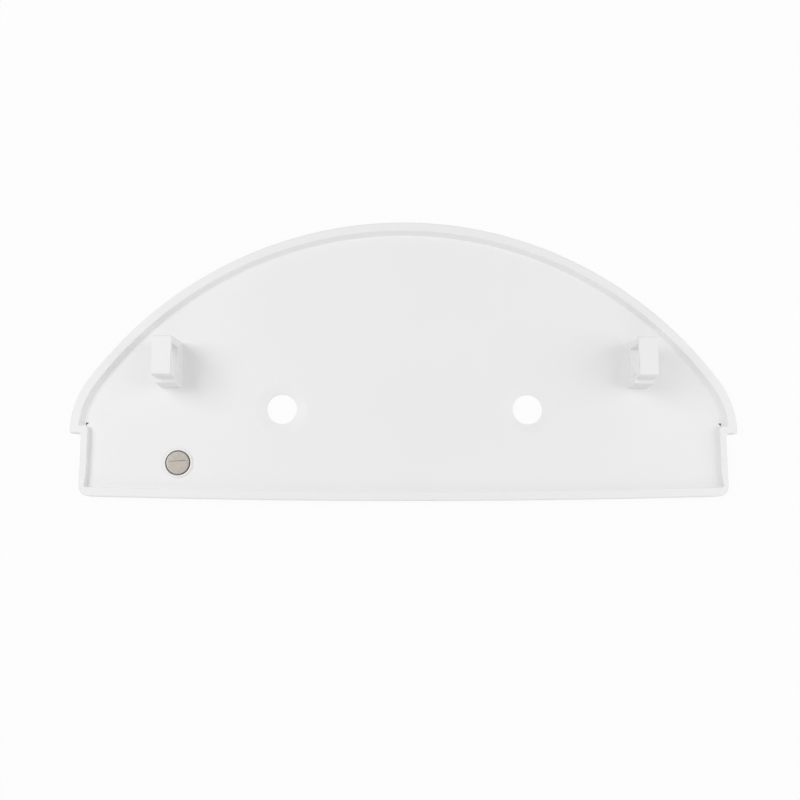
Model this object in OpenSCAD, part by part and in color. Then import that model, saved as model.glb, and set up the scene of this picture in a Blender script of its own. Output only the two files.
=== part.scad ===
// Mop plate of a robot vacuum: one white moulding that carries the mopping cloth under
// the water tank. The clip loops stand up, and the hook strips for the cloth lie below.
// The front edge is at -Y, the big arc at +Y, and the hook tips stand on Z = 0.

/* [Outline] */
// Width across the two ears
plate_w = 290; // [240:1:340]
// Depth from the front edge to the top of the big arc
plate_d = 124; // [110:1:150]
// Radius of the shoulders at the ends of the big arc
shoulder_r = 39.3; // [28:0.1:45]
// How far each ear stands out past the tongue below it
ear_out = 5; // [4:0.1:8]
// Distance from the front edge to the step under the ears
ear_y = 29; // [25:0.5:34]
// Straight length at the side of each ear
ear_side = 1; // [0.9:0.1:2]
// Radius of the lower corner of each ear
ear_r = 0.8; // [0.7:0.1:0.9]
// Radius in the inside corner between ear and tongue
notch_r = 1.2; // [1.1:0.1:2]
// Radius of the two front corners
front_r = 4.5; // [2:0.1:8]
// Outward bow of the front edge
front_bow = 2; // [0.5:0.1:5]

/* [Floor and rim] */
// Thickness of the floor
floor_t = 2; // [1.6:0.1:3]
// Height of the rim above the floor
rim_h = 2.7; // [1.5:0.1:4]
// Width of the flat top of the rim along the arcs
rim_w = 3.8; // [2:0.1:5]
// How far the sloped inner side of the rim runs in from its top
rim_slope = 1.6; // [0.5:0.1:4]
// Width of the rim along the step under the ears
ear_rim_w = 3.3; // [2:0.1:5]
// Width of the rim along the sides of the tongue
side_rim_w = 2.9; // [2:0.1:3.9]
// Width of the rim along the front edge
front_rim_w = 3.9; // [2:0.1:6]
// Radius of the rim's corner beside each ear
rim_corner_r = 1.6; // [0.5:0.1:2.5]
// How far the inner side of the rim flares out at the front corners
flare_w = 0.9; // [0.2:0.1:1.2]
// Length of that flare along the tongue
flare_l = 8; // [3:0.5:15]

/* [Water holes] */
// Diameter of the two water holes
hole_d = 13.2; // [8:0.1:16]
// Distance between the two holes
hole_gap = 107.8; // [80:0.1:130]
// Distance of the holes from the front edge
hole_y = 40; // [30:0.5:46]
// Diameter of the shallow dish round each hole
dish_d = 22; // [18:0.5:26]
// Depth of the dish at the hole
dish_depth = 0.9; // [0.3:0.1:1.2]

/* [Magnet] */
// Diameter of the disc magnet
magnet_d = 10; // [6:0.5:14]
// Thickness of the disc magnet
magnet_t = 2.2; // [1.5:0.1:3]
// Bevel round the edges of the magnet
magnet_bevel = 0.3; // [0.1:0.05:0.5]
// Distance of the magnet from the side of the plate
magnet_from_side = 46.7; // [40:0.1:60]
// Distance of the magnet from the front edge
magnet_y = 16.3; // [14:0.1:22]
// Gap between the magnet and the wall of its pocket
magnet_gap = 0.4; // [0.1:0.05:0.8]
// Thickness of the moulding under the magnet
pocket_floor = 0.8; // [0.5:0.1:1.2]
// Wall of the ring round the magnet
ring_wall = 0.9; // [0.6:0.1:1.5]
// Height of the ring above the floor
ring_h = 0.8; // [0.3:0.1:1.5]
// Length of the line scored across the magnet
score_l = 7.6; // [4:0.1:7.8]
// Width of the scored line
score_w = 0.3; // [0.1:0.05:0.5]
// Depth of the scored line
score_depth = 0.15; // [0.05:0.05:0.3]
// Turn of the scored line
score_turn = 3; // [-20:1:20]
// Distance of the scored line from the middle of the magnet
score_off = 0.8; // [0:0.1:2]

/* [Clip loops] */
// Height of the loops above the floor
loop_h = 20.5; // [16:0.5:26]
// Width of a loop at its foot
loop_w = 9; // [7:0.1:12]
// Length of a loop at its foot
loop_l = 19.8; // [16:0.1:24]
// Distance of each loop's middle from the side of the plate
loop_from_side = 42.6; // [38:0.1:60]
// Distance of each loop's front foot from the front edge
loop_y = 49.3; // [40:0.5:56]
// Lean of the loop's walls in degrees
loop_draft = 1.5; // [0:0.1:2]
// Depth of the ledge across the front of a loop
ledge_w = 1.9; // [1:0.1:2.5]
// Drop from the top of the loop to the ledge
ledge_drop = 8.5; // [4:0.1:11]
// Radius on the front and rear edges of the loop's head
head_r = 1; // [0.4:0.1:1.4]
// Bevel on the long edges of the loop's head
head_bevel = 0.4; // [0.2:0.1:1]
// Thickness of the bar over the window
top_bar = 2.1; // [1.5:0.1:3]
// Height of the window's sill above the floor
sill_h = 7.5; // [4:0.1:9]
// Thickness of the post in front of the window, above the ledge
front_post = 1.2; // [1:0.1:1.5]
// Thickness of the post behind the window, at its foot
rear_post = 3.6; // [2.5:0.1:5]
// Radius in the corners of the window
window_r = 0.8; // [0.3:0.1:1.5]

/* [Hook strips] */
// Width of the hook strips
strip_w = 16; // [10:0.5:18]
// Thickness of the hook strips, hooks included
strip_t = 1.3; // [1:0.1:2]
// Radius of the strips' corners
strip_r = 2; // [0.5:0.1:4]
// Depth of the recesses that the strips are stuck into
recess_depth = 0.5; // [0.2:0.1:0.6]
// Gap between a strip and the wall of its recess
recess_gap = 0.3; // [0.1:0.05:0.6]
// Length of the strip along the front edge
front_strip_l = 160; // [100:1:170]
// Distance of the front strip's middle from the front edge
front_strip_y = 17; // [13:0.5:19]
// Length of the strip under the big arc
rear_strip_l = 120; // [80:1:130]
// Distance of the rear strip's middle from the top of the arc
rear_strip_from_top = 24; // [22:0.5:30]
// Length of the two strips at the sides
side_strip_l = 36; // [24:1:40]
// Distance of the side strips' middles from the side of the plate
side_strip_from_side = 24; // [20:0.5:25]
// Distance of the side strips' middles from the front edge
side_strip_y = 32; // [28:0.5:34]

/* [Hidden] */
$fn = 96;
arc_fn = 360;
bow_fn = 1440;
over = 1;       // how far cutting solids run past what they cut
sink = 0.5;     // how far raised forms reach into the floor
spare = 1.5;    // how far corner cuts reach, as a multiple of the way to the corner
kink = 3;       // degrees between a round and its wall, so that they cross in one clean edge
lap = 0.003;    // how far the shoulders stand past the big arc, for the same reason

front_edge = -plate_d / 2;
side_x = plate_w / 2;
tongue_x = side_x - ear_out;
step_y = front_edge + ear_y;

shoulder_x = side_x - shoulder_r;
shoulder_y = step_y + ear_side;
shoulder_drop = plate_d / 2 - shoulder_y;
arc_r = (pow(shoulder_drop, 2) + pow(shoulder_x, 2) - pow(shoulder_r, 2))
    / (2 * (shoulder_drop - shoulder_r));
arc_y = plate_d / 2 - arc_r;
arc_turn = atan2(shoulder_x, shoulder_y - arc_y);

bow_r = (pow(tongue_x, 2) + pow(front_bow, 2)) / (2 * front_bow);
bow_y = front_edge + bow_r;
front_corner_x = tongue_x - front_r;
front_corner_y = bow_y - sqrt(pow(bow_r - front_r, 2) - pow(front_corner_x, 2));
bow_turn = asin(front_corner_x / (bow_r - front_r));

plate_z = strip_t - recess_depth;
floor_z = plate_z + floor_t;
rim_z = floor_z + rim_h;

magnet_x = -(side_x - magnet_from_side);
pocket_r = magnet_d / 2 + magnet_gap;
magnet_z = plate_z + pocket_floor;

loop_x = side_x - loop_from_side;
lean = tan(loop_draft);
ledge_h = loop_h - ledge_drop;

// Centre, width and length of the front, rear, left and right strips
strips = [
    [0, front_edge + front_strip_y, front_strip_l, strip_w],
    [0, plate_d / 2 - rear_strip_from_top, rear_strip_l, strip_w],
    [side_strip_from_side - side_x, front_edge + side_strip_y, strip_w, side_strip_l],
    [side_x - side_strip_from_side, front_edge + side_strip_y, strip_w, side_strip_l]
];

function at(r, angle) = [r * cos(angle), r * sin(angle)];

// What a round of radius r takes off a corner, seen from the round's centre
module corner_cut(r, from, to) {
    reach = spare * r / cos((to - from) / 2);
    difference() {
        polygon([[0, 0], at(reach, from), at(reach, (from + to) / 2), at(reach, to)]);
        circle(r / cos(kink));
    }
}

// What a round of radius r fills in an inside corner, with the round's centre at the origin
module corner_fill(r, angle) {
    rotate(angle)
        difference() {
            square(r + sink);
            circle(r / cos(kink));
        }
}

module rounded_rect(w, l, r) {
    difference() {
        polygon([[-w / 2, -l / 2], [w / 2, -l / 2], [w / 2, l / 2], [-w / 2, l / 2]]);
        for (sx = [-1, 1], sy = [-1, 1])
            translate([sx * (w / 2 - r), sy * (l / 2 - r)])
                corner_cut(r, atan2(sy, sx) - 45, atan2(sy, sx) + 45);
    }
}

// Repeats its children on the other side of the plate
module both_sides() {
    children();
    mirror([1, 0, 0]) children();
}

// Sector of the plan that belongs to the big arc
module arc_sector() {
    far = arc_r + over;
    edge = far * sin(arc_turn);
    translate([0, arc_y])
        polygon([[0, 0], [edge, far * cos(arc_turn)], [edge, far], [-edge, far],
            [-edge, far * cos(arc_turn)]]);
}

// Outer shape of the plate, seen from above
module outline() {
    difference() {
        union() {
            intersection() {
                translate([0, arc_y]) circle(arc_r, $fn = arc_fn);
                arc_sector();
                translate([-side_x, step_y]) square([plate_w, plate_d]);
            }
            both_sides() {
                intersection() {
                    translate([shoulder_x, shoulder_y]) circle(shoulder_r + lap, $fn = arc_fn);
                    translate([0, shoulder_y]) square([side_x, plate_d]);
                }
                translate([tongue_x + notch_r, step_y - notch_r]) corner_fill(notch_r, 90);
            }
            translate([-side_x, step_y]) square([plate_w, ear_side]);
            intersection() {
                translate([-tongue_x, front_edge]) square([2 * tongue_x, ear_y + ear_side]);
                translate([0, bow_y]) circle(bow_r, $fn = bow_fn);
            }
        }
        both_sides() {
            translate([side_x - ear_r, step_y + ear_r]) corner_cut(ear_r, -90, 0);
            translate([front_corner_x, front_corner_y]) corner_cut(front_r, bow_turn - 90, 0);
        }
    }
}

// Cone whose side is the sloped inner side of the rim
module slope_cone(centre, r) {
    foot = r - rim_w - rim_slope;
    translate([centre[0], centre[1], floor_z])
        cylinder(h = rim_h + over, r1 = foot, r2 = foot + rim_slope * (rim_h + over) / rim_h,
            $fn = arc_fn);
}

// Space inside the rim
module tray() {
    rear_y = step_y + ear_rim_w;
    rim_x = tongue_x - side_rim_w;
    intersection() {
        union() {
            intersection() {
                slope_cone([0, arc_y], arc_r);
                linear_extrude(rim_z + 2 * over) arc_sector();
                translate([-side_x, rear_y, 0]) cube([plate_w, plate_d, rim_z + 2 * over]);
            }
            both_sides() {
                intersection() {
                    slope_cone([shoulder_x, shoulder_y], shoulder_r + lap);
                    translate([0, rear_y, 0]) cube([side_x, plate_d, rim_z + 2 * over]);
                }
                translate([0, 0, floor_z])
                    linear_extrude(rim_h + over) {
                        translate([rim_x + rim_corner_r, rear_y - rim_corner_r])
                            corner_fill(rim_corner_r, 90);
                        polygon([[rim_x - over, front_edge], [rim_x + flare_w, front_edge],
                            [rim_x + flare_w, front_edge + front_rim_w],
                            [rim_x, front_edge + front_rim_w + flare_l],
                            [rim_x - over, front_edge + front_rim_w + flare_l]]);
                    }
            }
            translate([-rim_x, front_edge, floor_z])
                cube([2 * rim_x, ear_y + ear_rim_w + over, rim_h + over]);
        }
        translate([0, bow_y, 0]) cylinder(h = rim_z + 2 * over, r = bow_r - front_rim_w, $fn = bow_fn);
    }
}

// Side view of a loop, where x is the way back from its front foot and y the height
module loop_side() {
    head_front = ledge_w + lean * loop_h;
    head_rear = loop_l - lean * loop_h;
    round_in = head_r / cos(loop_draft) - head_r * lean;
    difference() {
        polygon([[0, -sink], [loop_l, -sink], [loop_l, 0], [head_rear, loop_h], [head_front, loop_h],
            [ledge_w + lean * ledge_h, ledge_h], [lean * ledge_h, ledge_h], [0, 0]]);
        translate([head_front + round_in, loop_h - head_r])
            corner_cut(head_r, 90, 180 - loop_draft);
        translate([head_rear - round_in, loop_h - head_r])
            corner_cut(head_r, loop_draft, 90);
    }
}

// Front view of a loop about its middle
module loop_front() {
    foot = loop_w / 2;
    head = foot - lean * loop_h;
    bevel_z = loop_h - head_bevel;
    bevel_x = foot - lean * bevel_z;
    polygon([[-foot, -sink], [foot, -sink], [foot, 0], [bevel_x, bevel_z],
        [head - head_bevel, loop_h], [head_bevel - head, loop_h], [-bevel_x, bevel_z], [-foot, 0]]);
}

// Window that the tank's latch catches in
module loop_window() {
    front = ledge_w + lean * loop_h + front_post;
    rear = loop_l - rear_post;
    low = sill_h;
    high = loop_h - top_bar;
    translate([(front + rear) / 2, (low + high) / 2])
        rounded_rect(rear - front, high - low, window_r);
}

// One clip loop, standing on the floor with its front foot at Y = 0
module clip_loop() {
    intersection() {
        translate([-loop_w / 2 - over, 0, 0])
            rotate([90, 0, 90])
                linear_extrude(loop_w + 2 * over)
                    difference() {
                        loop_side();
                        loop_window();
                    }
        translate([0, loop_l + over, 0])
            rotate([90, 0, 0])
                linear_extrude(loop_l + 2 * over) loop_front();
    }
}

module water_hole() {
    translate([hole_gap / 2, front_edge + hole_y, 0]) {
        translate([0, 0, plate_z - over]) cylinder(h = floor_t + 2 * over, d = hole_d);
        translate([0, 0, floor_z - dish_depth])
            cylinder(h = 2 * dish_depth, d1 = hole_d, d2 = 2 * dish_d - hole_d);
    }
}

// A strip or its recess, from z up, with a margin all round
module strip_solid(strip, z, height, margin) {
    translate([strip[0], strip[1], z])
        linear_extrude(height)
            rounded_rect(strip[2] + 2 * margin, strip[3] + 2 * margin, strip_r + margin);
}

module plate() {
    color([0.94, 0.94, 0.93])
        difference() {
            union() {
                difference() {
                    translate([0, 0, plate_z]) linear_extrude(floor_t + rim_h) outline();
                    tray();
                }
                both_sides()
                    translate([loop_x, front_edge + loop_y, floor_z]) clip_loop();
                translate([magnet_x, front_edge + magnet_y, floor_z - sink])
                    cylinder(h = sink + ring_h, r = pocket_r + ring_wall);
            }
            both_sides() water_hole();
            translate([magnet_x, front_edge + magnet_y, magnet_z])
                cylinder(h = floor_t + ring_h, r = pocket_r);
            for (strip = strips)
                strip_solid(strip, plate_z - over, over + recess_depth, recess_gap);
        }
}

module magnet() {
    rim_r = magnet_d / 2 - magnet_bevel;
    color([0.72, 0.7, 0.66])
        translate([magnet_x, front_edge + magnet_y, magnet_z])
            difference() {
                rotate_extrude()
                    polygon([[0, 0], [rim_r, 0], [magnet_d / 2, magnet_bevel],
                        [magnet_d / 2, magnet_t - magnet_bevel], [rim_r, magnet_t], [0, magnet_t]]);
                rotate(score_turn)
                    translate([-score_l / 2, score_off - score_w / 2, magnet_t - score_depth])
                        cube([score_l, score_w, score_depth + over]);
            }
}

module hook_strip(strip) {
    color([0.8, 0.8, 0.8]) strip_solid(strip, 0, strip_t, 0);
}

plate();
magnet();
hook_strip(strips[0]);  // hook_strip_front
hook_strip(strips[1]);  // hook_strip_rear
hook_strip(strips[2]);  // hook_strip_left
hook_strip(strips[3]);  // hook_strip_right
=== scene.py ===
import bpy
import bmesh
import math
from mathutils import Matrix, Vector


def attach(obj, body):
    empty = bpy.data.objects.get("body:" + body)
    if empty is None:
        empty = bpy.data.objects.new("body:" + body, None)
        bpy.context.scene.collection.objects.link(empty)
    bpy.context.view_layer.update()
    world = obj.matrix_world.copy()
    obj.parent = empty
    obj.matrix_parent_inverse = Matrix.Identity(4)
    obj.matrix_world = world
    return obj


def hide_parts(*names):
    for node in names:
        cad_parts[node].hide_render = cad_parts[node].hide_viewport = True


# Mop plate of a robot vacuum. Shapes are drawn in mm and brought to metres at the end.
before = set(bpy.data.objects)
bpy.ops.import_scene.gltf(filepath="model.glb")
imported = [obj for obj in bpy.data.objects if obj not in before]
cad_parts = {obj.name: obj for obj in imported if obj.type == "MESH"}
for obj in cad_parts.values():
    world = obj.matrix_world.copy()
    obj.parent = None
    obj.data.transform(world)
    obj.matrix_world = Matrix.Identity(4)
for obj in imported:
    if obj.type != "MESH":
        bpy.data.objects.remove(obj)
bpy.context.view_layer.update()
print("frame loaded:", sorted(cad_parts))


def linearColour(hexCode):
    channels = [int(hexCode[i:i + 2], 16) / 255 for i in (1, 3, 5)]
    return [c / 12.92 if c <= 0.04045 else ((c + 0.055) / 1.055) ** 2.4 for c in channels] + [1]


def addNode(tree, kind, inputs={}, **settings):
    node = tree.nodes.new(kind)
    for name, value in settings.items():
        setattr(node, name, value)
    for socket, value in inputs.items():
        if isinstance(value, bpy.types.NodeSocket):
            tree.links.new(value, node.inputs[socket])
        else:
            node.inputs[socket].default_value = value
    return node


def newMaterial(name):
    material = bpy.data.materials.new(name)
    material.use_nodes = True
    material.node_tree.nodes.clear()
    return material, material.node_tree


def perMetre(mm):      # noise scale for features of that many mm
    return 1000 / mm


def shiftColour(tree, place, base, darker, mm):     # slow wander between two close colours
    cloud = addNode(tree, "ShaderNodeTexNoise", {"Vector": place, "Scale": perMetre(mm), "Detail": 3})
    return addNode(tree, "ShaderNodeMix", {0: cloud.outputs["Fac"], 6: linearColour(base), 7: linearColour(darker)},
                   data_type="RGBA").outputs[2]


# Injection-moulded ABS, fine spark-eroded mould texture: a soft sheen and no mirror
whiteAbs = {"colour": "#F1F1F1", "shade": "#EDEDED", "grainMm": 0.35, "grainDepthMm": 0.006, "flowMm": 60}


def makeWhiteAbs():
    material, tree = newMaterial("mouldedWhiteAbs")
    place = addNode(tree, "ShaderNodeTexCoord").outputs["Object"]
    colour = shiftColour(tree, place, whiteAbs["colour"], whiteAbs["shade"], whiteAbs["flowMm"])
    grain = addNode(tree, "ShaderNodeTexNoise", {"Vector": place, "Scale": perMetre(whiteAbs["grainMm"]),
                                                 "Detail": 4, "Roughness": 0.6})
    relief = addNode(tree, "ShaderNodeBump", {"Height": grain.outputs["Fac"], "Strength": 0.5,
                                              "Distance": whiteAbs["grainDepthMm"] / 1000})
    polish = addNode(tree, "ShaderNodeMapRange", {"Value": grain.outputs["Fac"], "To Min": 0.4, "To Max": 0.5})
    shader = addNode(tree, "ShaderNodeBsdfPrincipled", {
        "Base Color": colour, "Roughness": polish.outputs[0], "IOR": 1.53, "Normal": relief.outputs[0]})
    addNode(tree, "ShaderNodeOutputMaterial", {"Surface": shader.outputs[0]})
    return material


# Dull nickel plate on a sintered magnet: warm grey, slightly mottled, brushed by handling
nickel = {"colour": "#A7A29C", "shade": "#938D85", "mottleMm": 1.6, "brushMm": 0.12, "brushDepthMm": 0.004}


def makeNickel():
    material, tree = newMaterial("dullNickelPlate")
    place = addNode(tree, "ShaderNodeTexCoord").outputs["Object"]
    colour = shiftColour(tree, place, nickel["colour"], nickel["shade"], nickel["mottleMm"])
    brush = addNode(tree, "ShaderNodeTexNoise", {"Vector": place, "Scale": perMetre(nickel["brushMm"]), "Detail": 3})
    relief = addNode(tree, "ShaderNodeBump", {"Height": brush.outputs["Fac"], "Strength": 0.6,
                                              "Distance": nickel["brushDepthMm"] / 1000})
    polish = addNode(tree, "ShaderNodeMapRange", {"Value": brush.outputs["Fac"], "To Min": 0.32, "To Max": 0.5})
    shader = addNode(tree, "ShaderNodeBsdfPrincipled", {
        "Base Color": colour, "Metallic": 1, "Roughness": polish.outputs[0], "Normal": relief.outputs[0]})
    addNode(tree, "ShaderNodeOutputMaterial", {"Surface": shader.outputs[0]})
    return material


# Moulded nylon hook tape: off-white with a soft waxy sheen; the real tape is a little see-through, which this shader
# leaves out
nylon = {"colour": "#E6E5E0", "shade": "#DAD9D3", "patchMm": 6, "threadMm": 0.25, "threadDepthMm": 0.02}


def makeNylon():
    material, tree = newMaterial("nylonHookTape")
    place = addNode(tree, "ShaderNodeTexCoord").outputs["Object"]
    colour = shiftColour(tree, place, nylon["colour"], nylon["shade"], nylon["patchMm"])
    thread = addNode(tree, "ShaderNodeTexWave", {"Vector": place, "Scale": perMetre(nylon["threadMm"]) / 6,
                                                 "Distortion": 1.5}, bands_direction="X")
    relief = addNode(tree, "ShaderNodeBump", {"Height": thread.outputs["Fac"], "Strength": 0.4,
                                              "Distance": nylon["threadDepthMm"] / 1000})
    shader = addNode(tree, "ShaderNodeBsdfPrincipled", {
        "Base Color": colour, "Roughness": 0.45, "IOR": 1.53, "Normal": relief.outputs[0]})
    addNode(tree, "ShaderNodeOutputMaterial", {"Surface": shader.outputs[0]})
    return material


plateWhite = makeWhiteAbs()
magnetGrey = makeNickel()
hookWhite = makeNylon()
print("materials made")


def lineTo(bm, end, x, y, parts):      # pulls the end of a chain along, in equal parts
    step = (Vector((x, y, end.co.z)) - end.co) / parts
    for part in range(parts):
        end = bmesh.ops.extrude_vert_indiv(bm, verts=[end])["verts"][0]
        bmesh.ops.translate(bm, verts=[end], vec=step)
    return end


def arcTo(bm, end, x, y, degrees, parts):      # spins the end of a chain about x, y
    made = bmesh.ops.spin(bm, geom=[end], cent=(x, y, end.co.z), axis=(0, 0, 1),
                          angle=math.radians(degrees), steps=parts)
    return [v for v in made["geom_last"] if isinstance(v, bmesh.types.BMVert)][0]


def turned(bm, x, y, profile, steps):      # profile of radius and height, spun about its own axis
    verts = [bm.verts.new((x + r, y, z)) for r, z in profile]
    edges = [bm.edges.new(pair) for pair in zip(verts, verts[1:])]
    bmesh.ops.spin(bm, geom=verts + edges, cent=(x, y, 0), axis=(0, 0, 1), angle=2 * math.pi,
                   steps=steps, use_merge=True)


def joinRings(bm, first, second):      # lifts the second ring off while they are joined, as level rings would twist
    verts = list({v for e in second for v in e.verts})
    bmesh.ops.translate(bm, vec=(0, 0, 50), verts=verts)
    bmesh.ops.bridge_loops(bm, edges=first + second)
    bmesh.ops.translate(bm, vec=(0, 0, -50), verts=verts)


def roundOf(r, z, radius, start, end, parts=4):      # points of a round, for a turned profile
    return [(r + radius * math.cos(math.radians(a)), z + radius * math.sin(math.radians(a)))
            for a in (start + (end - start) * i / parts for i in range(parts + 1))]


def openEdgesAt(bm, z):
    return [e for e in bm.edges if len(e.link_faces) < 2 and all(abs(v.co.z - z) < 0.0005 for v in e.verts)]


def fillFlat(bm, z, up):      # closes a level with every opening in it left out
    bmesh.ops.triangle_fill(bm, edges=openEdgesAt(bm, z), normal=(0, 0, up), use_beauty=True)


def finishPiece(bm, name, material, replaced):
    bmesh.ops.remove_doubles(bm, verts=bm.verts, dist=0.0005)
    bmesh.ops.recalc_face_normals(bm, faces=bm.faces)
    for edge in bm.edges:
        edge.smooth = len(edge.link_faces) == 2 and edge.calc_face_angle(0) < math.radians(40)
    for face in bm.faces:
        face.smooth = True
    bmesh.ops.scale(bm, vec=(0.001, 0.001, 0.001), verts=bm.verts)
    mesh = bpy.data.meshes.new(name)
    bm.to_mesh(mesh)
    bm.free()
    piece = bpy.data.objects.new(name, mesh)
    bpy.context.scene.collection.objects.link(piece)
    mesh.materials.append(material)
    normals = piece.modifiers.new("evenNormals", "WEIGHTED_NORMAL")
    normals.keep_sharp = True
    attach(piece, "root")
    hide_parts(*replaced)
    return piece


plate = {
    "width": 290, "depth": 124, "shoulderR": 39.3, "earOut": 5, "earY": 29, "earSide": 1,
    "earR": 0.8, "notchR": 1.2, "frontR": 4.5, "frontBow": 2,
    "bottomZ": 0.8, "floorZ": 2.8, "rimZ": 5.5, "topRound": 0.6, "bottomRound": 0.5,
    "rimW": 3.8, "rimSlope": 1.6, "earRimW": 3.3, "sideRimW": 2.9, "frontRimW": 3.9,
    "rimCornerR": 1.6, "flareW": 0.9, "flareL": 8, "innerRound": 0.2, "footRound": 0.25,
    "innerFrontR": 0.8, "innerEarR": 0.4, "floorMargin": 1.5,
}
sideX = plate["width"] / 2
frontY = -plate["depth"] / 2
tongueX = sideX - plate["earOut"]
stepY = frontY + plate["earY"]
shoulderX = sideX - plate["shoulderR"]
shoulderY = stepY + plate["earSide"]
shoulderDrop = plate["depth"] / 2 - shoulderY
arcR = (shoulderDrop ** 2 + shoulderX ** 2 - plate["shoulderR"] ** 2) / (2 * (shoulderDrop - plate["shoulderR"]))
arcY = plate["depth"] / 2 - arcR
arcTurn = math.degrees(math.atan2(shoulderX, shoulderY - arcY))
bowR = (tongueX ** 2 + plate["frontBow"] ** 2) / (2 * plate["frontBow"])
bowY = frontY + bowR
segments = {"bow": 24, "front": 8, "flare": 3, "side": 3, "notch": 6, "step": 2, "ear": 5, "shoulder": 20, "arc": 80}


def outerRing(bm, inset, z):      # half of the outer contour, from the front middle to the top middle
    frontX = tongueX - plate["frontR"]
    cornerY = bowY - math.sqrt((bowR - plate["frontR"]) ** 2 - frontX ** 2)
    bowTurn = math.degrees(math.asin(frontX / (bowR - plate["frontR"])))
    end = bm.verts.new((0, frontY + inset, z))
    end = arcTo(bm, end, 0, bowY, bowTurn, segments["bow"])
    end = arcTo(bm, end, frontX, cornerY, 90 - bowTurn, segments["front"])
    end = lineTo(bm, end, tongueX - inset, frontY + plate["frontRimW"] + plate["flareL"], segments["flare"])
    end = lineTo(bm, end, tongueX - inset, stepY - plate["notchR"], segments["side"])
    end = arcTo(bm, end, tongueX + plate["notchR"], stepY - plate["notchR"], -90, segments["notch"])
    end = lineTo(bm, end, sideX - plate["earR"], stepY + inset, segments["step"])
    end = arcTo(bm, end, sideX - plate["earR"], stepY + plate["earR"], 90, segments["ear"])
    end = lineTo(bm, end, sideX - inset, shoulderY, 1)
    end = arcTo(bm, end, shoulderX, shoulderY, 90 - arcTurn, segments["shoulder"])
    arcTo(bm, end, 0, arcY, arcTurn, segments["arc"])


def innerRing(bm, grow, z):      # half of the rim's inner contour at that height, part for part as the outer one
    rimX = tongueX - plate["sideRimW"]
    rearY = stepY + plate["earRimW"] - grow
    slopeIn = plate["rimW"] + plate["rimSlope"] * (plate["rimZ"] - z) / (plate["rimZ"] - plate["floorZ"]) - grow
    lean = math.atan2(plate["flareW"], plate["flareL"])
    bottomR = bowR - plate["frontRimW"] + grow
    flareY = frontY + plate["frontRimW"]
    r = plate["innerFrontR"]
    away = (rimX + plate["flareW"]) * math.cos(lean) + flareY * math.sin(lean) + grow - r
    frontX, cornerY = rimX, flareY
    for again in range(6):      # centre of the round between the bow and the flared side
        cornerY = bowY - math.sqrt((bottomR - r) ** 2 - frontX ** 2)
        frontX = (away - cornerY * math.sin(lean)) / math.cos(lean)
    bowTurn = math.degrees(math.atan2(frontX, bowY - cornerY))
    end = bm.verts.new((0, bowY - bottomR, z))
    end = arcTo(bm, end, 0, bowY, bowTurn, segments["bow"])
    end = arcTo(bm, end, frontX, cornerY, 90 + math.degrees(lean) - bowTurn, segments["front"])
    end = lineTo(bm, end, rimX + grow, flareY + plate["flareL"], segments["flare"])
    cornerY = stepY + plate["earRimW"] - plate["rimCornerR"]
    end = lineTo(bm, end, rimX + grow, cornerY, segments["side"])
    end = arcTo(bm, end, rimX + plate["rimCornerR"], cornerY, -90, segments["notch"])
    sweepR = plate["shoulderR"] - slopeIn
    r = plate["innerEarR"]
    earX = shoulderX + math.sqrt((sweepR - r) ** 2 - (rearY + r - shoulderY) ** 2)
    end = lineTo(bm, end, earX, rearY, segments["step"])
    earTurn = math.degrees(math.atan2(rearY + r - shoulderY, earX - shoulderX))
    end = arcTo(bm, end, earX, rearY + r, 90 + earTurn, segments["ear"])
    end = arcTo(bm, end, shoulderX, shoulderY, 90 - arcTurn - earTurn, segments["shoulder"] + 1)
    arcTo(bm, end, 0, arcY, arcTurn, segments["arc"])


def wholeRing(bm, draw, offset, z):      # draws the right half, mirrors it and gives the closed ring's edges
    oldVerts, oldEdges = set(bm.verts), set(bm.edges)
    draw(bm, offset, z)
    half = [v for v in bm.verts if v not in oldVerts] + [e for e in bm.edges if e not in oldEdges]
    bmesh.ops.mirror(bm, geom=half, matrix=Matrix.Identity(4), merge_dist=0.0005, axis="X")
    return [e for e in bm.edges if e not in oldEdges]


def rounded(radius, parts):      # offset and drop of a quarter round, from its flat end to its wall end
    turns = [math.radians(90 * i / parts) for i in range(parts + 1)]
    return [(radius * (1 - math.sin(a)), radius * (1 - math.cos(a))) for a in turns]


def drawShell(bm):
    rings = []
    for inset, rise in rounded(plate["bottomRound"], 4):
        rings.append((outerRing, inset, plate["bottomZ"] + rise))
    for inset, drop in reversed(rounded(plate["topRound"], 5)):
        rings.append((outerRing, inset, plate["rimZ"] - drop))
    for grow, drop in rounded(plate["innerRound"], 3):
        rings.append((innerRing, grow, plate["rimZ"] - drop))
    for inset, rise in reversed(rounded(plate["footRound"], 3)):
        rings.append((innerRing, -inset, plate["floorZ"] + rise))
    rings.append((innerRing, -plate["floorMargin"], plate["floorZ"]))
    last = None
    for draw, offset, z in rings:
        ring = wholeRing(bm, draw, offset, z)
        if last:
            joinRings(bm, last, ring)
        last = ring


waterHole = {"x": 53.9, "y": -22, "r": 6.6, "dishR": 11, "dishDepth": 0.9, "edgeR": 0.25}


def drawWaterHoles(bm):
    bottom, top = plate["bottomZ"], plate["floorZ"]
    slope = math.atan2(waterHole["dishDepth"], waterHole["dishR"] - waterHole["r"])
    profile = []
    for step in (0.5, 0.25, 0, -0.25, -0.5):      # soft lip where the dish leaves the floor
        profile.append((waterHole["dishR"] + step, top - (0.5 - step) ** 2 / 2 * math.tan(slope)))
    r, low = waterHole["edgeR"], top - waterHole["dishDepth"]
    profile += roundOf(waterHole["r"] + r, low - r * 0.8, r, 90, 180, 4)
    profile += roundOf(waterHole["r"] + r, bottom + r, r, 180, 270, 4)
    for side in (-1, 1):
        turned(bm, side * waterHole["x"], waterHole["y"], profile, 72)


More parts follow.
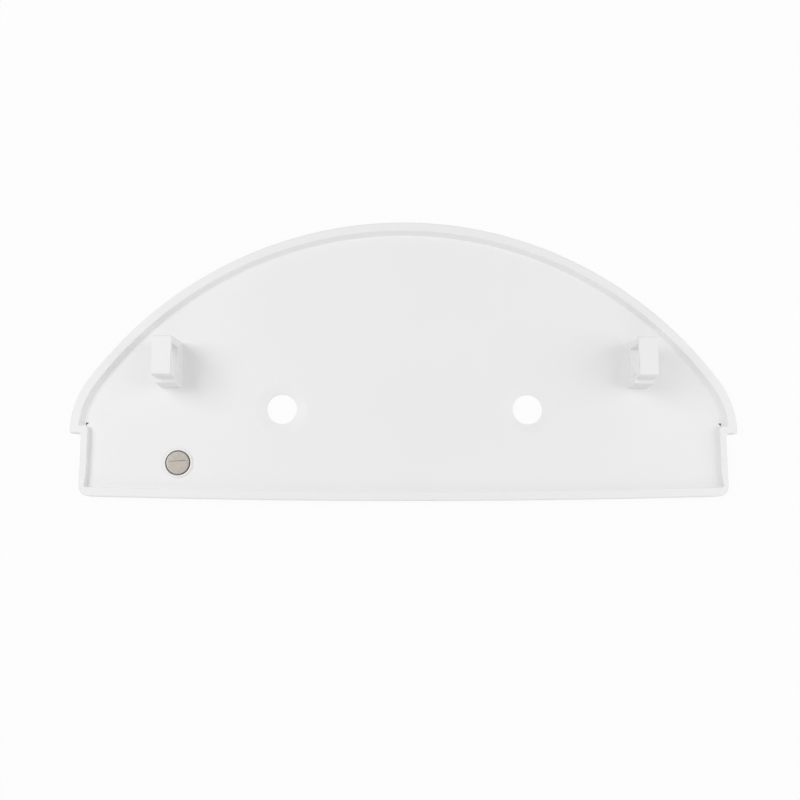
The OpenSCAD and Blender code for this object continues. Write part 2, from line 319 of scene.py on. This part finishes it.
magnetSeat = {"x": -98.3, "y": -45.7, "pocketR": 5.4, "wall": 0.9, "ringZ": 3.6, "floorZ": 1.6, "edgeR": 0.28}


def drawMagnetSeat(bm):
    r = magnetSeat["edgeR"]
    outer, inner = magnetSeat["pocketR"] + magnetSeat["wall"], magnetSeat["pocketR"]
    profile = roundOf(outer + r, plate["floorZ"] + r, r, 270, 180, 3)
    profile += roundOf(outer - r, magnetSeat["ringZ"] - r, r, 0, 90, 4)
    profile += roundOf(inner + r, magnetSeat["ringZ"] - r, r, 90, 180, 4)
    profile += roundOf(inner - r, magnetSeat["floorZ"] + r, r, 360, 270, 3) + [(0, magnetSeat["floorZ"])]
    turned(bm, magnetSeat["x"], magnetSeat["y"], profile, 72)


clipLoop = {
    "x": 102.4, "y": -12.7, "h": 20.5, "w": 9, "l": 19.8, "draft": 1.5, "ledgeW": 1.9, "ledgeDrop": 8.5,
    "headR": 1, "edgeR": 0.4, "windowFront": 3.637, "windowRear": 16.2, "sill": 7.5, "windowTop": 18.4,
    "windowR": 0.8, "foot": 0.25, "sideEdgeR": 0.3,
}


def sharpEdges(part, degrees):
    return [e for e in part.edges if len(e.link_faces) == 2 and e.calc_face_angle(0) > math.radians(degrees)]


def bevelEdges(part, edges, radius, segments):
    bmesh.ops.bevel(part, geom=edges, offset=radius, segments=segments, affect="EDGES", profile=0.5,
                    material=-1, clamp_overlap=True)


def makeClipLoop():
    part = bmesh.new()
    lean = math.tan(math.radians(clipLoop["draft"]))
    h, w, l = clipLoop["h"], clipLoop["w"], clipLoop["l"]
    ledgeZ = h - clipLoop["ledgeDrop"]
    side = [(0, 0), (l, 0), (l - lean * h, h), (clipLoop["ledgeW"] + lean * h, h),
            (clipLoop["ledgeW"] + lean * ledgeZ, ledgeZ), (lean * ledgeZ, ledgeZ)]
    face = part.faces.new([part.verts.new((-w / 2, y, z)) for y, z in side])
    made = bmesh.ops.extrude_face_region(part, geom=[face])["geom"]
    bmesh.ops.translate(part, vec=(w, 0, 0), verts=[v for v in made if isinstance(v, bmesh.types.BMVert)])
    for z in (clipLoop["sill"], clipLoop["windowTop"]):      # two level cuts, then two upright ones between them
        bmesh.ops.bisect_plane(part, geom=part.verts[:] + part.edges[:] + part.faces[:],
                               plane_co=(0, 0, z), plane_no=(0, 0, 1))
    middle = (clipLoop["sill"] + clipLoop["windowTop"]) / 2
    for y in (clipLoop["windowFront"], clipLoop["windowRear"]):
        band = [f for f in part.faces if abs(f.normal.x) > 0.9
                and min(v.co.z for v in f.verts) > clipLoop["sill"] - 0.01
                and max(v.co.z for v in f.verts) < clipLoop["windowTop"] + 0.01]
        geom = set(band)
        for f in band:
            geom.update(f.edges)
            geom.update(f.verts)
        bmesh.ops.bisect_plane(part, geom=list(geom), plane_co=(0, y, 0), plane_no=(0, 1, 0))
    panes = [f for f in part.faces if abs(f.normal.x) > 0.9 and abs(f.calc_center_median().z - middle) < 1
             and clipLoop["windowFront"] < f.calc_center_median().y < clipLoop["windowRear"]]
    frames = list({e for f in panes for e in f.edges})
    bmesh.ops.delete(part, geom=panes, context="FACES_ONLY")
    bmesh.ops.bridge_loops(part, edges=frames)
    bmesh.ops.recalc_face_normals(part, faces=part.faces)
    for v in part.verts:      # draft of the two broad sides
        v.co.x *= 1 - lean * v.co.z / (w / 2)
    bevelEdges(part, [e for e in part.edges if all(
        clipLoop["windowFront"] - 0.01 < v.co.y < clipLoop["windowRear"] + 0.01
        and clipLoop["sill"] - 0.01 < v.co.z < clipLoop["windowTop"] + 0.01 for v in e.verts)
        and abs(e.verts[0].co.x - e.verts[1].co.x) > 1], clipLoop["windowR"], 5)
    bevelEdges(part, [e for e in sharpEdges(part, 60) if all(abs(v.co.z - h) < 0.01 for v in e.verts)
                      and abs(e.verts[0].co.x - e.verts[1].co.x) > 1], clipLoop["headR"], 6)
    bmesh.ops.delete(part, geom=[f for f in part.faces if all(abs(v.co.z) < 0.01 for v in f.verts)],
                     context="FACES_ONLY")
    bevelEdges(part, sharpEdges(part, 40), clipLoop["sideEdgeR"], 3)
    spread = clipLoop["foot"]
    for out, rise in ((spread * 0.3, spread * 0.3), (spread, 0)):      # small fillet down to the floor
        rim = [e for e in part.edges if e.is_boundary]
        if rise:
            bmesh.ops.translate(part, vec=(0, 0, spread), verts=list({v for e in rim for v in e.verts}))
        made = bmesh.ops.extrude_edge_only(part, edges=rim)["geom"]
        foot = [v for v in made if isinstance(v, bmesh.types.BMVert)]
        bmesh.ops.scale(part, vec=((w / 2 + out) / (w / 2), (l / 2 + out) / (l / 2), 1), verts=foot,
                        space=Matrix.Translation((0, -l / 2, 0)))
        for v in foot:
            v.co.z = rise
    bmesh.ops.recalc_face_normals(part, faces=part.faces)
    mesh = bpy.data.meshes.new("clipLoopShape")
    part.to_mesh(mesh)
    part.free()
    return mesh


def drawClipLoops(bm):
    shape = makeClipLoop()
    for side in (-1, 1):
        old = set(bm.verts)
        bm.from_mesh(shape)
        new = [v for v in bm.verts if v not in old]
        bmesh.ops.scale(bm, vec=(side, 1, 1), verts=new)
        bmesh.ops.translate(bm, vec=(side * clipLoop["x"], clipLoop["y"], plate["floorZ"]), verts=new)
    bpy.data.meshes.remove(shape)


strips = {
    "t": 1.3, "recess": 0.5, "gap": 0.3, "r": 2, "backing": 0.45,
    "hook_strip_front": (0, -45, 160, 16), "hook_strip_rear": (0, 38, 120, 16),
    "hook_strip_left": (-121, -30, 16, 36), "hook_strip_right": (121, -30, 16, 36),
}
stripNames = [name for name in strips if name.startswith("hook")]


def roundedRect(bm, x, y, w, l, r, z):      # closed outline, drawn as a chain
    old = set(bm.edges)
    end = first = bm.verts.new((x + w / 2 - r, y - l / 2, z))
    for sx, sy in ((1, -1), (1, 1), (-1, 1), (-1, -1)):
        end = arcTo(bm, end, x + sx * (w / 2 - r), y + sy * (l / 2 - r), 90, 6)
        nextX = x + sx * (w / 2 - r) if sx == sy else x + sx * w / 2
        if sx * sy < 0:
            end = lineTo(bm, end, end.co.x, y - sy * (l / 2 - r), 1)
        elif (sx, sy) != (-1, -1):
            end = lineTo(bm, end, x - sx * (w / 2 - r), end.co.y, 1)
    bm.edges.new((end, first))
    return [e for e in bm.edges if e not in old]


def drawRecesses(bm):
    for name in stripNames:
        x, y, w, l = strips[name]
        gap, low = strips["gap"], plate["bottomZ"]
        mouth = roundedRect(bm, x, y, w + 2 * gap + 0.3, l + 2 * gap + 0.3, strips["r"] + gap + 0.15, low)
        lip = roundedRect(bm, x, y, w + 2 * gap, l + 2 * gap, strips["r"] + gap, low + 0.15)
        roof = roundedRect(bm, x, y, w + 2 * gap, l + 2 * gap, strips["r"] + gap, low + strips["recess"])
        joinRings(bm, mouth, lip)
        joinRings(bm, lip, roof)
        bmesh.ops.contextual_create(bm, geom=roof)


def makePlate():
    bm = bmesh.new()
    drawShell(bm)
    drawWaterHoles(bm)
    drawMagnetSeat(bm)
    drawClipLoops(bm)
    drawRecesses(bm)
    bmesh.ops.remove_doubles(bm, verts=bm.verts, dist=0.0005)
    fillFlat(bm, plate["floorZ"], 1)
    fillFlat(bm, plate["bottomZ"], -1)
    print("plate open edges:", sum(e.is_boundary for e in bm.edges), "faces:", len(bm.faces))
    return finishPiece(bm, "plateMoulding", plateWhite, ["plate"])


makePlate()


magnet = {"r": 5, "t": 2.2, "edgeR": 0.3, "scoreL": 7.6, "scoreW": 0.3, "scoreDepth": 0.15, "turn": 3, "off": 0.8}


def makeMagnet():
    bm = bmesh.new()
    low, high, r = magnetSeat["floorZ"], magnetSeat["floorZ"] + magnet["t"], magnet["edgeR"]
    profile = [(0, low)] + roundOf(magnet["r"] - r, low + r, r, 270, 360, 3)
    profile += roundOf(magnet["r"] - r, high - r, r, 0, 90, 5) + [(0, high)]
    turned(bm, magnetSeat["x"], magnetSeat["y"], profile, 72)
    bmesh.ops.remove_doubles(bm, verts=bm.verts, dist=0.0005)
    place = Matrix.Translation((magnetSeat["x"], magnetSeat["y"], 0)) @ Matrix.Rotation(
        math.radians(magnet["turn"]), 4, "Z")
    across = place.to_3x3() @ Vector((0, 1, 0))
    along = place.to_3x3() @ Vector((1, 0, 0))
    for step in (-0.5, 0, 0.5):      # three lines along the score, and one across each end
        bmesh.ops.bisect_plane(bm, geom=bm.verts[:] + bm.edges[:] + bm.faces[:], plane_no=across,
                               plane_co=place @ Vector((0, magnet["off"] + step * magnet["scoreW"], 0)))
    for side in (-0.5, 0.5):
        bmesh.ops.bisect_plane(bm, geom=bm.verts[:] + bm.edges[:] + bm.faces[:], plane_no=along,
                               plane_co=place @ Vector((side * magnet["scoreL"], 0, 0)))
    back = place.inverted()
    for v in bm.verts:
        p = back @ v.co
        if abs(p.z - high) < 0.001 and abs(p.y - magnet["off"]) < 0.01 and abs(p.x) < magnet["scoreL"] / 2 - 0.01:
            v.co.z -= magnet["scoreDepth"]
    return finishPiece(bm, "magnetDisc", magnetGrey, ["magnet"])


makeMagnet()
print("magnet made")


hook = {"pitchX": 1.25, "pitchY": 1.3, "wire": 0.24, "bendR": 0.27, "curl": 150, "edge": 0.75, "sides": 5}


def newVerts(made):
    return [v for v in made["geom"] if isinstance(v, bmesh.types.BMVert)]


def drawHook(bm, x, y, root, way):      # stem down from the tape, then a curl to one side
    wire, bend = hook["wire"] / 2, hook["bendR"]
    made = bmesh.ops.create_circle(bm, cap_ends=True, segments=hook["sides"], radius=wire)["verts"]
    bmesh.ops.translate(bm, vec=(x, y - way * bend, root), verts=made)
    stem = bmesh.ops.extrude_face_region(bm, geom=list({f for v in made for f in v.link_faces}))
    bmesh.ops.translate(bm, vec=(0, 0, bend + wire - root), verts=newVerts(stem))
    tip = [f for f in stem["geom"] if isinstance(f, bmesh.types.BMFace)]
    bmesh.ops.spin(bm, geom=tip, cent=(x, y, bend + wire), axis=(1, 0, 0),
                   angle=math.radians(way * hook["curl"]), steps=5)


def repeat(bm, geom, count, step):      # count - 1 more copies, each a step further on
    for i in range(1, count):
        bmesh.ops.translate(bm, vec=step * i, verts=newVerts(bmesh.ops.duplicate(bm, geom=geom)))


def drawHooks(bm, name, root):      # rows of hooks that curl one way and the other by turns
    x, y, w, l = strips[name]
    columns = int((w - 2 * hook["edge"]) / hook["pitchX"]) + 1
    pairs = int((l - 2 * hook["edge"]) / hook["pitchY"] + 1) // 2
    startX = x - (columns - 1) * hook["pitchX"] / 2
    startY = y - (2 * pairs - 1) * hook["pitchY"] / 2
    drawHook(bm, startX, startY, root, 1)
    drawHook(bm, startX, startY + hook["pitchY"], root, -1)
    repeat(bm, bm.verts[:] + bm.edges[:] + bm.faces[:], columns, Vector((hook["pitchX"], 0, 0)))
    repeat(bm, bm.verts[:] + bm.edges[:] + bm.faces[:], pairs, Vector((0, 2 * hook["pitchY"], 0)))


def makeHookStrip(name):
    x, y, w, l = strips[name]
    bm = bmesh.new()
    top, low = strips["t"], strips["t"] - strips["backing"]
    drawHooks(bm, name, low)
    tape = bmesh.ops.contextual_create(bm, geom=roundedRect(bm, x, y, w, l, strips["r"], top))["faces"]
    made = bmesh.ops.extrude_face_region(bm, geom=tape)
    bmesh.ops.translate(bm, vec=(0, 0, low - top), verts=newVerts(made))
    return finishPiece(bm, name + "_tape", hookWhite, [name])


for name in stripNames:
    makeHookStrip(name)
print("hook strips made")


room = {"floorHalf": 4, "white": 1.0, "shown": 0.93, "worldLight": 0.51}


def makeBackdrop():
    material, tree = newMaterial("whiteGround")
    rays = addNode(tree, "ShaderNodeLightPath").outputs
    seen = addNode(tree, "ShaderNodeMath", {0: rays["Is Camera Ray"], 1: rays["Is Glossy Ray"]}, operation="MAXIMUM")
    seen = addNode(tree, "ShaderNodeMath", {0: seen.outputs[0], 1: rays["Is Transmission Ray"]}, operation="MAXIMUM")
    share = addNode(tree, "ShaderNodeMath", {0: seen.outputs[0], 1: room["shown"]}, operation="MULTIPLY")
    matte = addNode(tree, "ShaderNodeBsdfDiffuse", {"Color": linearColour("#F4F4F4")})
    lit = addNode(tree, "ShaderNodeEmission", {"Color": linearColour("#FEFEFE"), "Strength": room["white"]})
    mixed = addNode(tree, "ShaderNodeMixShader", {0: share.outputs[0], 1: matte.outputs[0], 2: lit.outputs[0]})
    addNode(tree, "ShaderNodeOutputMaterial", {"Surface": mixed.outputs[0]})
    bm = bmesh.new()
    bmesh.ops.create_grid(bm, x_segments=1, y_segments=1, size=room["floorHalf"])
    mesh = bpy.data.meshes.new("ground")
    bm.to_mesh(mesh)
    bm.free()
    ground = bpy.data.objects.new("ground", mesh)
    mesh.materials.append(material)
    bpy.context.scene.collection.objects.link(ground)


def makeWorld():
    world = bpy.data.worlds.new("softRoom")
    bpy.context.scene.world = world
    world.use_nodes = True
    tree = world.node_tree
    tree.nodes.clear()
    rays = addNode(tree, "ShaderNodeLightPath").outputs
    seen = addNode(tree, "ShaderNodeMath", {0: rays["Is Camera Ray"], 1: rays["Is Glossy Ray"]}, operation="MAXIMUM")
    seen = addNode(tree, "ShaderNodeMath", {0: seen.outputs[0], 1: rays["Is Transmission Ray"]}, operation="MAXIMUM")
    dim = addNode(tree, "ShaderNodeBackground", {"Color": linearColour("#FFFFFF"), "Strength": room["worldLight"]})
    white = addNode(tree, "ShaderNodeBackground", {"Color": linearColour("#FEFEFE"), "Strength": 1})
    mixed = addNode(tree, "ShaderNodeMixShader", {0: seen.outputs[0], 1: dim.outputs[0], 2: white.outputs[0]})
    addNode(tree, "ShaderNodeOutputWorld", {"Surface": mixed.outputs[0]})


softboxes = {      # place and size in metres, watts
    "leftSoftbox": ((-0.6, 0.2, 0.7), (0.5, 0.5), 2.6),
    "leftNearLamp": ((-0.35, 0, 0.5), (0.3, 0.3), 0.13),
    "rightSoftbox": ((0.7, 0, 0.35), (0.5, 0.5), 1.04),
    "rightNearLamp": ((0.35, 0, 0.5), (0.3, 0.3), 0.36),
    "frontSoftbox": ((0, -0.6, 0.4), (0.8, 0.5), 0.64),
}


def makeLights():
    for name, (place, size, watts) in softboxes.items():
        light = bpy.data.lights.new(name, "AREA")
        light.shape = "RECTANGLE"
        light.size, light.size_y = size
        light.energy = watts
        lamp = bpy.data.objects.new(name, light)
        lamp.location = place
        lamp.rotation_euler = (-Vector(place)).to_track_quat("-Z", "Y").to_euler()
        bpy.context.scene.collection.objects.link(lamp)


view = {"place": (-0.0084, -0.0770, 0.4151), "turnDegrees": (8.1417, -0.8561, -0.0170), "lens": 42.75}


def makeCamera():
    camera = bpy.data.cameras.new("camera")
    camera.lens = view["lens"]
    camera.sensor_width = 36
    camera.clip_start, camera.clip_end = 0.01, 20
    holder = bpy.data.objects.new("camera", camera)
    holder.location = view["place"]
    holder.rotation_euler = [math.radians(a) for a in view["turnDegrees"]]
    bpy.context.scene.collection.objects.link(holder)
    bpy.context.scene.camera = holder


makeBackdrop()
makeWorld()
makeLights()
makeCamera()
bpy.context.scene.view_settings.view_transform = "Standard"
print("room, lights and camera made")
